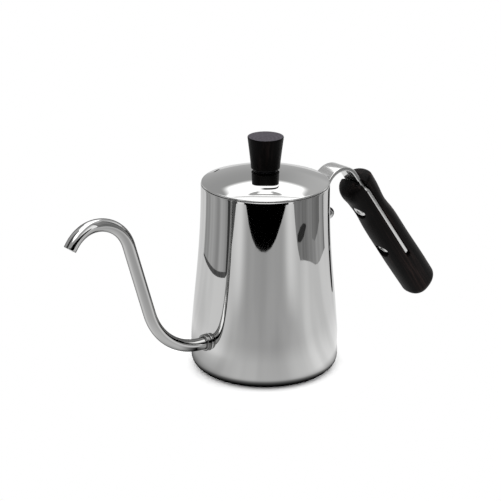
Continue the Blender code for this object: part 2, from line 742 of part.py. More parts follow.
build_grip()
for tag, along in zip(("upper", "lower"), GRIP_SCREW_U):
    place = {"location": on_handle(along), "axis_angle": TILT}
    pan_screw("grip_screw_" + tag, SCREW_HEAD_TOP, SCREW_TIP,
              steel("grip_screw_steel_" + tag, 0.15), **place)
    turned("grip_insert_" + tag, ring_profile(INSERT_R, INSERT_FROM, INSERT_TO),
           brass("grip_insert_brass_" + tag), **place)

# ================================================================ shading
for ob in kettle.objects:
    if ob.type == "MESH":
        ob.data.shade_smooth()
        ob.data.set_sharp_from_angle(angle=radians(35))
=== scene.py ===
import bpy
import bmesh
from math import sin, cos, tan, pi, radians, sqrt, atan2, exp, hypot, acos
from mathutils import Vector, Matrix


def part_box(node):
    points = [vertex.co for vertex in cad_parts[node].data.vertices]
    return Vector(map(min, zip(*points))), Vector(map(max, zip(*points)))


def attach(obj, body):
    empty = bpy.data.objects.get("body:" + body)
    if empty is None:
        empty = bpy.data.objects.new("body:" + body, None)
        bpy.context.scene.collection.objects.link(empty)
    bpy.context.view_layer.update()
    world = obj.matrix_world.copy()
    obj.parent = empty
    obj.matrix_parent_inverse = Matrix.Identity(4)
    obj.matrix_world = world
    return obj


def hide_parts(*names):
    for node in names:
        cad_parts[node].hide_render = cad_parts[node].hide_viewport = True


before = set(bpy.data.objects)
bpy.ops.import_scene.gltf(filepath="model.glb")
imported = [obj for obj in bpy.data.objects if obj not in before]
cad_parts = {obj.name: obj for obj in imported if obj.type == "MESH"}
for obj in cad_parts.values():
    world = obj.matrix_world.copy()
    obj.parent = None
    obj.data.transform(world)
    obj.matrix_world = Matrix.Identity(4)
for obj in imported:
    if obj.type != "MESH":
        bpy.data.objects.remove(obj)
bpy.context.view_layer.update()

# Gooseneck kettle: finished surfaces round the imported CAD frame.
# The pot stands on z = 0 round the Z axis, with the spout towards -X and the handle towards +X.
# Shapes are in millimetres in the CAD frame and meshes are made in metres; materials, world
# and camera use metres.
MM = 0.001
GAP = 0.30              # clearance between fitted pieces


def box_mm(name):
    low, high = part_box(name)
    return low / MM, high / MM


# ------------------------------------------------- sizes read from the frame
pot_low, pot_high = box_mm("body_shell")
lid_low, lid_high = box_mm("lid_cover")
skirt_low, skirt_high = box_mm("lid_skirt")
knob_low, knob_high = box_mm("knob")
collar_low, collar_high = box_mm("spout_collar")
seat_low, seat_high = box_mm("knob_spacer")
washer_low, washer_high = box_mm("knob_washer")
knob_screw_low, knob_screw_high = box_mm("knob_screw")
cap_nut_low, cap_nut_high = box_mm("cap_nut_upper")
plain_nut_low, plain_nut_high = box_mm("strap_nut_lower")
standoff_low, standoff_high = box_mm("strap_spacer_upper")

# ------------------------------------------ design rules shared with the CAD
# pot
POT_HEIGHT = pot_high.z
POT_WIDE_R = (pot_high.x - pot_low.x) / 2
POT_RIM_R, POT_FOOT_R, POT_HOLE_R, POT_SHEET = 31.25, 31.5, 27.5, 0.8
POT_CYL_TOP, TAPER_POWER = 14.0, 0.74
POT_FOOT_H = 5.0        # height of the curve from wall to foot
POT_WALL_TOP = POT_HEIGHT - 0.45
HOLE_CHAMFER = 0.15

# spout: headings and turns in degrees
TUBE_R, TUBE_WALL = 3.0, 0.5
SPOUT_Z = (collar_low.z + collar_high.z) / 2
SPOUT_IN, SPOUT_BEND_X = -box_mm("spout_tube")[1].x, 39.0
BEND_1_R, LIMB_ANGLE, SPOUT_TOP = 33.0, 73.4, 93.5
BEND_2_R, BEND_3_R, TIP_ANGLE, TIP_LENGTH = 19.0, 15.2, 54.0, 2.4

# lid and knob
LID_R = (lid_high.x - lid_low.x) / 2
LID_EDGE_Z, LID_TOP = lid_low.z, lid_high.z
LID_EDGE_T, LID_SHEET, LID_FLAT_R = 0.55, 0.6, 6.0
LID_SEAT_R, LID_SEAT_BLEND = 4.5, 5.0   # level seat round the screw, width of its blend
LID_LIP_Z = LID_EDGE_Z + 0.70           # top of the rolled edge
SLOT_R, SLOT_LONG, SLOT_WIDE, SLOT_ANGLE, SLOT_Z = 26.6, 5.5, 1.4, 113.0, 95.5
SKIRT_SHEET, SKIRT_FLANGE = 0.6, 1.6
KNOB_BASE_R, KNOB_TOP_R, KNOB_BORE_DEPTH = 7.0, 8.8, 9.4

# fasteners
M4_R, HEAD_R, HEAD_H, INSERT_R = 2.0, 3.95, 2.4, 3.0
M4_BORE_R = M4_R + 0.35
HEX_FLAT_R = 3.5                        # hexagon axis to flat
HEX_CORNER_R = HEX_FLAT_R / cos(pi / 6)
HEX_CHAMFER = 0.32

# handle strap: a leg up the pot, a bend over, and a tang falling inside the grip
STRAP_T, STRAP_NECK, STRAP_TANG = 2.0, 11.0, 15.5
LEG_X, LEG_Z0 = 35.6, box_mm("handle_strap")[0].z
STRAP_BEND_Z, STRAP_BEND_R = 81.3, 10.83
HANDLE_DROP, SHOULDER_X, SHOULDER_Z, TANG_LENGTH = 53.4, 62.2, 78.2, 51.6
LEG_CORNER, TANG_CORNER = 3.5, 3.0      # corner radii of the strap's two ends
FIX_UPPER_Z = (cap_nut_low.z + cap_nut_high.z) / 2
FIX_LOWER_Z = (plain_nut_low.z + plain_nut_high.z) / 2

# wooden grip: stations run down the handle from the strap's shoulder
GRIP_START, GRIP_END, GRIP_HALF_WIDTH = -6.9, 82.8, 8.2
GRIP_TOP_ROUND, GRIP_LOW_ROUND = 4.2, 6.6
GRIP_SCREWS = {"upper": 11.5, "lower": 42.0}
SCREW_HEAD_TOP, SCREW_TIP, COUNTERBORE_R = -7.6, 6.6, 4.35

# level directions from the kettle to the camera and to the camera's right
TO_CAMERA = Vector((-0.6502, -0.7598, 0.0)).normalized()
TO_RIGHT = Vector((-TO_CAMERA.y, TO_CAMERA.x, 0.0))


# ============================================================ mesh helpers
def make_object(name, verts, faces, place=None):
    mesh = bpy.data.meshes.new(name)
    mesh.from_pydata([tuple(c * MM for c in v) for v in verts], [], faces)
    mesh.validate()
    ob = bpy.data.objects.new(name, mesh)
    bpy.context.scene.collection.objects.link(ob)
    if place is not None:
        mesh.transform(place)
    return ob


def smooth(ob, angle=32):
    ob.data.shade_smooth()
    ob.data.set_sharp_from_angle(angle=radians(angle))


def placed(location, tilt):
    """Local +Z turned from +Z towards +X by tilt, then moved (mm)."""
    return Matrix.Translation(Vector(location) * MM) @ Matrix.Rotation(tilt, 4, "Y")


def ease(value, start, span):
    """0 to 1 with soft ends as value crosses the span."""
    t = min(max((value - start) / span, 0.0), 1.0)
    return 3 * t * t - 2 * t ** 3


def arc_points(centre, radii, start, end, steps):
    """Points on an ellipse between two angles, both ends included."""
    angles = [start + (end - start) * i / steps for i in range(steps + 1)]
    return [(centre[0] + radii[0] * cos(a), centre[1] + radii[1] * sin(a)) for a in angles]


def rounded(corners, steps=6):
    """Corner list (r, z, fillet) to a profile with rounded corners."""
    out = []
    for i, (r, z, fillet) in enumerate(corners):
        if fillet <= 0:
            out.append((r, z))
            continue
        corner = Vector((r, z))
        back = Vector(corners[i - 1][:2]) - corner
        ahead = Vector(corners[(i + 1) % len(corners)][:2]) - corner
        back_length, ahead_length = back.length, ahead.length
        back, ahead = back / back_length, ahead / ahead_length
        angle = acos(back.dot(ahead))
        setback = min(fillet / tan(angle / 2), 0.49 * back_length, 0.49 * ahead_length)
        radius = setback * tan(angle / 2)
        centre = corner + (back + ahead).normalized() * (radius / sin(angle / 2))
        first = corner + back * setback - centre
        last = corner + ahead * setback - centre
        start, end = atan2(first.y, first.x), atan2(last.y, last.x)
        while end - start > pi:
            end -= 2 * pi
        while end - start < -pi:
            end += 2 * pi
        out += arc_points(centre, (radius, radius), start, end, steps)
    return out


def lathe(name, profile, segs=96, closed=True, place=None):
    """A turned piece from (r, z) points. An open profile starts and ends on the axis."""
    ring = list(profile)
    area = 0.0
    for (r0, z0), (r1, z1) in zip(ring, ring[1:] + ring[:1]):
        area += r0 * z1 - r1 * z0
    if area > 0:
        ring.reverse()
    verts, rows = [], []
    for r, z in ring:
        if r < 1e-6:
            rows.append([len(verts)])
            verts.append((0.0, 0.0, z))
        else:
            rows.append(list(range(len(verts), len(verts) + segs)))
            verts += [(r * cos(2 * pi * k / segs), r * sin(2 * pi * k / segs), z)
                      for k in range(segs)]
    faces = []
    pairs = list(zip(rows, rows[1:])) + ([(rows[-1], rows[0])] if closed else [])
    for a, b in pairs:
        for k in range(segs):
            j = (k + 1) % segs
            if len(a) == 1:
                faces.append((a[0], b[k], b[j]))
            elif len(b) == 1:
                faces.append((a[j], a[k], b[0]))
            else:
                faces.append((a[k], b[k], b[j], a[j]))
    ob = make_object(name, verts, faces, place)
    smooth(ob)
    return ob


def loft(name, loops, ring=False):
    """Skin equally long point loops; capped, or joined end to end as a ring."""
    n, count = len(loops[0]), len(loops)
    verts = [point for loop in loops for point in loop]
    faces = []
    for i in range(count if ring else count - 1):
        a, b = i * n, ((i + 1) % count) * n
        for k in range(n):
            j = (k + 1) % n
            faces.append((a + k, a + j, b + j, b + k))
    if not ring:
        faces.append(tuple(range(n))[::-1])
        faces.append(tuple(range((count - 1) * n, count * n)))
    ob = make_object(name, verts, faces)
    bm = bmesh.new()
    bm.from_mesh(ob.data)
    bmesh.ops.recalc_face_normals(bm, faces=bm.faces)
    bm.to_mesh(ob.data)
    bm.free()
    return ob


def apply_modifiers(ob):
    bpy.context.view_layer.update()
    deps = bpy.context.evaluated_depsgraph_get()
    mesh = bpy.data.meshes.new_from_object(ob.evaluated_get(deps))
    ob.modifiers.clear()
    ob.data = mesh


def subtract(ob, *tools):
    for tool in tools:
        cut = ob.modifiers.new("cut", "BOOLEAN")
        cut.operation, cut.solver, cut.object = "DIFFERENCE", "EXACT", tool
    apply_modifiers(ob)
    for tool in tools:
        bpy.data.objects.remove(tool, do_unlink=True)


def rod(radius, z0, z1, place=None, segs=48):
    return lathe("tool", [(0, z1), (radius, z1), (radius, z0), (0, z0)], segs, False, place)


def block(size, place):
    x, y, z = (s / 2 for s in size)
    verts = [(a, b, c) for a in (-x, x) for b in (-y, y) for c in (-z, z)]
    faces = [(0, 1, 3, 2), (4, 6, 7, 5), (0, 4, 5, 1), (2, 3, 7, 6), (0, 2, 6, 4), (1, 5, 7, 3)]
    return make_object("tool", verts, faces, place)


# ========================================================== shader helpers
class Graph:
    """A node tree. Sockets are fed with a plain value or with another node's output;
    the methods that add a node return one of its outputs."""

    def __init__(self, tree):
        self.nodes, self.links = tree.nodes, tree.links

    def feed(self, node, sockets):
        for key, value in sockets.items():
            if isinstance(value, bpy.types.NodeSocket):
                self.links.new(value, node.inputs[key])
            else:
                node.inputs[key].default_value = value

    def principled(self, sockets):
        self.feed(self.nodes["Principled BSDF"], sockets)

    def surface(self, shader):
        self.feed(self.nodes["Material Output"], {"Surface": shader})

    def add(self, kind, output, sockets=None, **settings):
        node = self.nodes.new("ShaderNode" + kind)
        for key, value in settings.items():
            setattr(node, key, value)
        self.feed(node, sockets or {})
        return node.outputs[output]

    def math(self, operation, a, b=0.0):
        return self.add("Math", "Value", {0: a, 1: b}, operation=operation)

    def plus(self, a, b):
        return self.math("ADD", a, b)

    def times(self, first, *others):
        for other in others:
            first = self.math("MULTIPLY", first, other)
        return first

    def one_minus(self, value):
        return self.math("SUBTRACT", 1.0, value)

    def dot(self, source, vector):
        return self.add("VectorMath", "Value", {0: source, 1: vector}, operation="DOT_PRODUCT")

    def step(self, value, start, end, low=0.0, high=1.0):
        """Soft step from low to high as value goes from start to end."""
        return self.add("MapRange", "Result",
                        {"Value": value, "From Min": start, "From Max": end,
                         "To Min": low, "To Max": high},
                        interpolation_type="SMOOTHSTEP")

    def band(self, value, rise, fall):
        """1 between the rise and the fall, each a (start, end) pair."""
        return self.times(self.step(value, *rise), self.step(value, *fall, low=1.0, high=0.0))

    def mapping(self, vector, **sockets):
        return self.add("Mapping", "Vector", {"Vector": vector, **sockets})

    def noise(self, vector, scale, detail, roughness=0.5, output="Fac"):
        return self.add("TexNoise", output, {"Vector": vector, "Scale": scale,
                                             "Detail": detail, "Roughness": roughness})

    def ramp(self, factor, stops):
        """Colour ramp from (position, colour) stops."""
        output = self.add("ValToRGB", "Color", {"Fac": factor})
        elements = output.node.color_ramp.elements
        while len(elements) > 1:
            elements.remove(elements[-1])
        elements[0].position, elements[0].color = stops[0][0], (*stops[0][1], 1)
        for position, colour in stops[1:]:
            elements.new(position).color = (*colour, 1)
        return output

    def mix_value(self, factor, a, b):
        return self.add("Mix", 0, {0: factor, 2: a, 3: b}, data_type="FLOAT")

    def mix_colour(self, factor, a, b):
        return self.add("Mix", 2, {0: factor, 6: a, 7: b}, data_type="RGBA")

    def mix_shader(self, factor, a, b):
        return self.add("MixShader", "Shader", {0: factor, 1: a, 2: b})

    def emission(self, strength):
        return self.add("Emission", "Emission", {"Strength": strength})

    def bump(self, height, strength, distance, **sockets):
        return self.add("Bump", "Normal", {"Height": height, "Strength": strength,
                                           "Distance": distance, **sockets})


def new_material(name):
    material = bpy.data.materials.new(name)
    material.use_nodes = True
    return material, Graph(material.node_tree)


def grey(value):
    return (value,) * 3


def scaled(colour, factor):
    return tuple(c * factor for c in colour)


# ============================================================== materials
def steel(name, colour=(0.66, 0.66, 0.655), rough=(0.035, 0.075), wave=0.35,
          brush=(1, 1, 1), brush_strength=0.05):
    """Stainless steel: faint waviness of drawn sheet, hairline marks stretched by brush,
    and a soft film that varies the gloss and tint."""
    material, g = new_material(name)
    place = g.add("TexCoord", "Object")
    film = g.noise(place, scale=38.0, detail=4.0, roughness=0.6)
    waves = g.noise(place, scale=28.0, detail=1.0, roughness=0.4)
    wavy = g.bump(waves, strength=wave, distance=0.00012)
    stretched = g.mapping(place, Scale=[s * 25.0 for s in brush])
    hair = g.noise(stretched, scale=60.0, detail=3.0, roughness=0.7)
    g.principled({
        "Metallic": 1.0,
        "Roughness": g.ramp(film, [(0.35, grey(rough[0])), (0.72, grey(rough[1]))]),
        "Base Color": g.ramp(film, [(0.3, scaled(colour, 0.9825)), (0.7, colour)]),
        "Normal": g.bump(hair, strength=brush_strength, distance=0.00002, Normal=wavy)})
    return material


def cut_end_with_painted_sheen(g, place, flank_colour, sheen_end_colour):
    """Growth rings and open pores where the surface faces up, in a paler bluish grey that is painted
    sheen of the overhead light; the flank colour elsewhere.
    """
    rings = g.add("TexWave", "Fac", {"Vector": place, "Scale": 170.0, "Distortion": 3.0,
                                     "Detail": 2.0},
                  wave_type="RINGS", rings_direction="Z")
    pores = g.noise(place, scale=2600.0, detail=2.0)
    ends = g.ramp(g.mix_value(0.5, rings, pores),
                  [(0.25, scaled(sheen_end_colour, 0.72)), (0.75, sheen_end_colour)])
    facing_up = g.add("SeparateXYZ", "Z", {0: g.add("NewGeometry", "Normal")})
    return g.mix_colour(g.step(facing_up, start=0.75, end=0.97), flank_colour, ends)


def dark_wood(name, grain_scale, tilt=0.0, shift=(0, 0, 0), light=1.0, sheen=0.06,
              sheen_end_grain=None):
    """Near-black stained hardwood: long streaks along the grain under a thin satin finish.
    light scales the paler streaks; sheen_end_grain is the colour of the upward cut end: real end
    grain, lightened as painted sheen of the overhead light."""
    material, g = new_material(name)
    place = g.mapping(g.add("TexCoord", "Object"), Rotation=(0.0, tilt, 0.0), Location=shift)
    stretched = g.mapping(place, Scale=grain_scale)
    warp = g.noise(place, scale=90.0, detail=2.0, output="Color")
    grain = g.add("VectorMath", "Vector", {0: warp, 1: grey(0.0009), 2: stretched},
                  operation="MULTIPLY_ADD")
    streaks = g.noise(grain, scale=900.0, detail=6.0, roughness=0.62)
    bands = g.noise(grain, scale=260.0, detail=2.0)
    figure = g.mix_value(0.45, streaks, bands)
    colour = g.ramp(figure, [(0.36, (0.0010, 0.0008, 0.0010)),
                             (0.50, scaled((0.0022, 0.0016, 0.0017), light)),
                             (0.58, scaled((0.0065, 0.0042, 0.0040), light)),
                             (0.68, scaled((0.0200, 0.0120, 0.0105), light))])
    if sheen_end_grain:
        colour = cut_end_with_painted_sheen(g, place, colour, sheen_end_grain)
    g.principled({
        "Base Color": colour,
        "Roughness": g.ramp(figure, [(0.35, grey(0.5)), (0.65, grey(0.34))]),
        "Normal": g.bump(figure, strength=0.35, distance=0.00010),
        "Specular IOR Level": sheen})
    return material


def add_painted_knob_glare(material):
    """Painted glare of the overhead box: the knob's flank glows, seen only in mirrors such as the lid.
    The glow covers the flank on the camera's side above a bowed line, but for one painted dark bar."""
    g = Graph(material.node_tree)
    place = g.add("TexCoord", "Object")
    facing = g.add("NewGeometry", "Normal")
    sideways = g.dot(facing, TO_RIGHT)
    bow = g.times(sideways, sideways, 0.0026)
    height = g.math("SUBTRACT", g.dot(place, (0, 0, 1)), bow)
    glare = g.step(height, start=0.1088, end=0.1092, high=1.6)
    bar = g.times(g.band(height, rise=(0.1109, 0.1113), fall=(0.1129, 0.1133)),
                  g.step(sideways, start=-0.45, end=0.0))
    camera_side = g.step(g.dot(facing, TO_CAMERA), start=0.0, end=0.3)
    glare = g.times(glare, g.one_minus(bar), camera_side)
    mirrored = g.add("LightPath", "Is Glossy Ray")
    # the painted glare is emission on the wood, lit for mirror rays only
    g.principled({"Emission Color": (1, 1, 1, 1), "Emission Strength": g.times(glare, mirrored)})


def brass(name):
    material, g = new_material(name)
    mottle = g.noise(g.add("TexCoord", "Object"), scale=700.0, detail=4.0)
    g.principled({
        "Metallic": 1.0,
        "Base Color": g.ramp(mottle, [(0.3, (0.52, 0.36, 0.14)), (0.7, (0.74, 0.55, 0.26))]),
        "Roughness": g.ramp(mottle, [(0.3, grey(0.22)), (0.7, grey(0.4))])})
    return material


pot_steel = steel("pot_polished_steel", rough=(0.012, 0.03), wave=0.3, brush=(1, 1, 0.03),
                  brush_strength=0.015)
lid_steel = steel("lid_polished_steel", rough=(0.014, 0.035), wave=0.22)
spout_steel = steel("spout_polished_steel", rough=(0.02, 0.05), wave=0.2)
# painted shade: the spout's steel is tinted dark towards the tube's edges
Graph(spout_steel.node_tree).principled({"Specular Tint": (0.10, 0.10, 0.10, 1)})
# painted light: the strap's steel is paler than the pot's, brightening the strap
strap_brightened_steel = steel("strap_polished_steel", colour=(0.78, 0.78, 0.775), rough=(0.15, 0.24),
                     wave=0.25)
# painted shade: the ferrule's steel is far darker than the pot's, near black
collar_steel = steel("collar_polished_steel", colour=(0.26, 0.26, 0.256), rough=(0.04, 0.08),
                     wave=0.2)
hardware_steel = steel("hardware_steel", colour=(0.60, 0.60, 0.595), rough=(0.07, 0.15), wave=0.1)
# painted shade: the seat washer under the knob is near black, standing in for shade in the seam
seam_shade_steel = steel("painted_seam_shade_steel", colour=(0.045, 0.045, 0.05), rough=(0.25, 0.4), wave=0.1)
satin_steel = steel("satin_steel", colour=(0.58, 0.58, 0.575), rough=(0.2, 0.34), wave=0.2,
                    brush=(0.05, 1, 1), brush_strength=0.25)
grip_wood = dark_wood("grip_wood", grain_scale=(0.045, 1.0, 1.0), tilt=-radians(HANDLE_DROP))
# the knob's top face: real end grain in a paler bluish grey that is painted sheen of the overhead box
knob_wood = dark_wood("knob_wood", grain_scale=(1.0, 1.0, 0.06), shift=(0.003, 0.002, 0),
                      light=0.35, sheen=0.08, sheen_end_grain=(0.060, 0.054, 0.066))
# painted glare: the knob's flank glows for mirror rays, as the lid's reflection of the overhead box
add_painted_knob_glare(knob_wood)
insert_brass = brass("insert_brass")


def finish_piece(ob, material, body, slot, *cad_names):
    ob.data.materials.clear()
    ob.data.materials.append(material)
    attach(ob, body)
    if cad_names:
        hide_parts(*cad_names)


def finish_fastener(ob, body, cad_name, material=hardware_steel):
    finish_piece(ob, material, body, "fastener_steel", cad_name)


# ==================================================================== pot
SPOUT_AXIS = placed((0, 0, SPOUT_Z), -pi / 2)       # local +Z points out along the spout
UPPER_AXIS = placed((0, 0, FIX_UPPER_Z), pi / 2)    # local +Z points out to the handle
LOWER_AXIS = placed((0, 0, FIX_LOWER_Z), pi / 2)


def pot_radius(z):
    if z <= POT_CYL_TOP:
        return POT_WIDE_R
    t = min((z - POT_CYL_TOP) / (POT_HEIGHT - POT_CYL_TOP), 1.0)
    return POT_RIM_R + (POT_WIDE_R - POT_RIM_R) * 0.5 * (1 + cos(pi * t ** TAPER_POWER))


def pot_profile():
    """Outer wall down to the hole in the base, back up inside, and over the round rim."""
    outer = []
    for i in range(111):
        z = POT_FOOT_H + (POT_WALL_TOP - POT_FOOT_H) * (1 - i / 110)
        outer.append((pot_radius(z), z))
    outer += arc_points((POT_FOOT_R, POT_FOOT_H), (POT_WIDE_R - POT_FOOT_R, POT_FOOT_H),
                        0, -pi / 2, 24)[1:]
    inner = []
    for i, (r, z) in enumerate(outer):
        before, after = outer[max(i - 1, 0)], outer[min(i + 1, len(outer) - 1)]
        dr, dz = after[0] - before[0], after[1] - before[1]
        d = hypot(dr, dz)
        inner.append((r + POT_SHEET * dz / d, z - POT_SHEET * dr / d))
    hole = [(POT_HOLE_R + HOLE_CHAMFER, 0.0), (POT_HOLE_R, HOLE_CHAMFER), (POT_HOLE_R, POT_SHEET)]
    half = POT_SHEET / 2
    rim = arc_points((POT_RIM_R - half, POT_HEIGHT - half), (half, half), pi, 0, 12)[1:-1]
    return outer + hole + inner[::-1] + rim


def build_pot():
    pot = lathe("pot_body", pot_profile(), 192)
    subtract(pot, rod(TUBE_R + GAP, 30.0, 42.0, SPOUT_AXIS))
    smooth(pot)
    finish_piece(pot, pot_steel, "kettle", "pot_steel", "body_shell")


def build_base():
    radius, top, bottom = POT_HOLE_R - GAP, 0.8, 0.001
    profile = rounded([(0, top, 0), (radius, top, 0.1), (radius, bottom, 0.12), (0, bottom, 0)],
                      steps=4)
    base = lathe("pot_base_disc", profile, 160, False)
    finish_piece(base, satin_steel, "kettle", "base_steel", "bottom_plate")


# ================================================================== spout
# A path is a list of (x, z, heading in degrees). The spout's is drawn towards +X and
# mirrored to -X by tube_loop.
def bend(path, radius, turn, step=1.5):
    x, z, heading = path[-1]
    side = 1.0 if turn > 0 else -1.0
    cx = x - side * radius * sin(radians(heading))
    cz = z + side * radius * cos(radians(heading))
    n = max(2, int(round(abs(turn) / step)))
    for i in range(1, n + 1):
        a = heading + turn * i / n
        path.append((cx + side * radius * sin(radians(a)),
                     cz - side * radius * cos(radians(a)), a))


def straight(path, length, pieces):
    x, z, heading = path[-1]
    for i in range(1, pieces + 1):
        d = length * i / pieces
        path.append((x + d * cos(radians(heading)), z + d * sin(radians(heading)), heading))


def spout_path():
    path = [(SPOUT_IN, SPOUT_Z, 0.0)]
    straight(path, SPOUT_BEND_X - SPOUT_IN, 4)
    bend(path, BEND_1_R, LIMB_ANGLE)
    rise = BEND_2_R * (1 - cos(radians(LIMB_ANGLE)))
    limb = (SPOUT_TOP - rise - path[-1][1]) / sin(radians(LIMB_ANGLE))
    straight(path, limb, 24)
    bend(path, BEND_2_R, -LIMB_ANGLE)
    bend(path, BEND_3_R, -TIP_ANGLE)
    straight(path, TIP_LENGTH - 0.05, 3)
    return path


def tube_loop(station, radius, along=0.0, segs=64):
    x, z, heading = station
    a = radians(heading)
    forward = Vector((cos(a), 0, sin(a)))
    normal = Vector((-sin(a), 0, cos(a)))
    centre = Vector((x, 0, z)) + forward * along
    out = []
    for k in range(segs):
        q = 2 * pi * k / segs
        p = centre + normal * (radius * cos(q)) + Vector((0, 1, 0)) * (radius * sin(q))
        out.append((-p.x, p.y, p.z))
    return out


def build_spout():
    """Outer skin to the tip, a half-round lip, and the bore back down."""
    path = spout_path()
    tip, half = path[-1], TUBE_WALL / 2

    def skin(radius):
        return [tube_loop(s, radius) for s in path[:-1]] + [tube_loop(tip, radius, -half)]

    lip = arc_points((TUBE_R - half, -half), (half, half), 0, pi, 8)[1:-1]
    loops = skin(TUBE_R) + [tube_loop(tip, radius, along) for radius, along in lip]
    loops += skin(TUBE_R - TUBE_WALL)[::-1]
    spout = loft("spout_pipe", loops, ring=True)
    smooth(spout, 50)
    finish_piece(spout, spout_steel, "kettle", "spout_steel", "spout_tube")


def build_ferrule():
    near, far = -collar_high.x, -collar_low.x
    radius, bore = (collar_high.y - collar_low.y) / 2, TUBE_R + 0.12
    profile = rounded([(radius, far, 0.45), (radius, near, 0.25), (bore, near, 0.05),
                       (bore, far - 0.1, 0.05)], steps=8)
    collar = lathe("spout_ferrule", profile, 96, place=SPOUT_AXIS)
    finish_piece(collar, collar_steel, "kettle", "collar_steel", "spout_collar")


# section of the braze bead: (distance from the spout's axis, height off the pot wall)
BRAZE_SECTION = [(4.38, -0.12), (4.34, 0.03), (4.22, 0.08), (4.12, 0.18),
                 (4.04, 0.32), (3.9, 0.34), (3.7, 0.24), (3.6, -0.12)]


def on_wall(y, z, out):
    """A point on the pot's spout side, out mm clear of the wall."""
    r = pot_radius(z) + out
    return (-sqrt(max(r * r - y * y, 0.0)), y, z)


def build_braze():
    loops = []
    for radius, out in BRAZE_SECTION:
        circle = [2 * pi * k / 96 for k in range(96)]
        loops.append([on_wall(radius * cos(q), SPOUT_Z + radius * sin(q), out) for q in circle])
    braze = loft("spout_braze", loops, ring=True)
    smooth(braze, 50)
    finish_piece(braze, pot_steel, "kettle", "pot_steel")


# ==================================================================== lid
def lid_top(r):
    r = max(r, LID_FLAT_R)
    edge = LID_R - 0.15
    span = 1 - (LID_FLAT_R / edge) ** 2
    return LID_EDGE_Z + LID_EDGE_T + (LID_TOP - LID_EDGE_Z - LID_EDGE_T) * (1 - (r / edge) ** 2) / span


def lid_profile():
    """Top from the screw hole outwards, round the rolled edge, and back underneath."""
    flat = lid_top(0)
    top = [(M4_BORE_R, flat)]
    for i in range(71):
        r = LID_SEAT_R + (LID_R - 0.35 - LID_SEAT_R) * i / 70
        if r < LID_R - 1.9:
            top.append((r, flat + (lid_top(r) - flat) * ease(r, LID_SEAT_R, LID_SEAT_BLEND)))
    for inset in (1.9, 1.6, 1.3, 1.0, 0.8):
        top.append((LID_R - inset, lid_top(LID_R - inset)))
    top.append((LID_R - 0.6, LID_LIP_Z + 0.02))
    lip = arc_points((LID_R - 0.45, LID_LIP_Z - 0.36), (0.45, 0.36), pi / 2, 0, 8)
    lip += arc_points((LID_R - 0.25, LID_EDGE_Z + 0.25), (0.25, 0.25), 0, -pi / 2, 6)
    under = [(LID_R - 1.0, LID_EDGE_Z)]
    for i in range(24, -1, -1):
        r = LID_SEAT_R + (LID_R - 1.8 - LID_SEAT_R) * i / 24
        under.append((r, lid_top(r) - LID_SHEET))
    under.append((M4_BORE_R, flat - LID_SHEET))
    return top + lip + under


def slot_tool():
    """Upright capsule, long across the lid's radius."""
    angle = radians(SLOT_ANGLE)
    outline = []
    for k in range(32):
        a = 2 * pi * k / 32
        end = (SLOT_LONG - SLOT_WIDE) / 2 * (1 if sin(a) > 0 else -1)
        outline.append((SLOT_WIDE / 2 * cos(a), end + SLOT_WIDE / 2 * sin(a)))
    tool = loft("tool", [[(x, y, z) for x, y in outline] for z in (-4.0, 4.0)])
    centre = (SLOT_R * cos(angle) * MM, SLOT_R * sin(angle) * MM, SLOT_Z * MM)
    tool.data.transform(Matrix.Translation(centre) @ Matrix.Rotation(angle, 4, "Z"))
    return tool


def build_lid():
    cover = lathe("lid_dome", lid_profile(), 192)
    subtract(cover, slot_tool())
    smooth(cover)
    finish_piece(cover, lid_steel, "lid", "lid_steel", "lid_cover")


def build_skirt():
    outer = (skirt_high.x - skirt_low.x) / 2
    inner = outer - SKIRT_SHEET
    flange, top, bottom = inner - SKIRT_FLANGE, skirt_high.z, skirt_low.z
    profile = rounded([(flange, top, 0.1), (outer, top, 0.45), (outer, bottom, 0.28),
                       (inner, bottom, 0.28), (inner, top - SKIRT_SHEET, 0.3),
                       (flange, top - SKIRT_SHEET, 0.1)])
    skirt = lathe("lid_inner_ring", profile, 160)
    finish_piece(skirt, satin_steel, "lid_carrier", "skirt_steel", "lid_skirt")


def build_knob():
    """Flaring knob with a blind hole up from its base for the insert."""
    bottom, top, bore = knob_low.z, knob_high.z, INSERT_R + GAP
    height = top - bottom
    corners = [(0, top, 0), (KNOB_TOP_R - 0.05, top, 0.75)]
    for i in range(15):
        z = top - 0.9 - (height - 1.5) * i / 14
        flare = ((z - bottom) / height) ** 1.15
        corners.append((KNOB_BASE_R + (KNOB_TOP_R - KNOB_BASE_R) * flare, z, 0))
    corners += [(KNOB_BASE_R + 0.02, bottom, 0.45), (bore, bottom, 0.1),
                (bore, bottom + KNOB_BORE_DEPTH, 0.2), (0, bottom + KNOB_BORE_DEPTH, 0)]
    knob = lathe("lid_knob", rounded(corners, steps=8), 128, False)
    smooth(knob, 40)
    finish_piece(knob, knob_wood, "lid", "knob_wood", "knob")


# ============================================================== fasteners
def washer(name, radius, bottom, top, fillets, steps=4, place=None):
    """Flat ring; fillets are for the outer top, outer bottom and bore edges."""
    outer_top, outer_bottom, bore = fillets
    return lathe(name, rounded([(radius, top, outer_top), (radius, bottom, outer_bottom),
                                (M4_BORE_R, bottom, bore), (M4_BORE_R, top, bore)], steps),
                 72, place=place)


def build_knob_washers():
    seat = washer("knob_seat_washer", (seat_high.x - seat_low.x) / 2, seat_low.z, seat_high.z,
                  fillets=(0.15, 0.15, 0))
    # the seat washer takes the painted seam shade
    finish_fastener(seat, "lid", "knob_spacer", seam_shade_steel)
    under = washer("knob_washer_under_lid", (washer_high.x - washer_low.x) / 2,
                   washer_low.z, washer_high.z, fillets=(0.15, 0.15, 0.1))
    finish_fastener(under, "lid", "knob_washer")


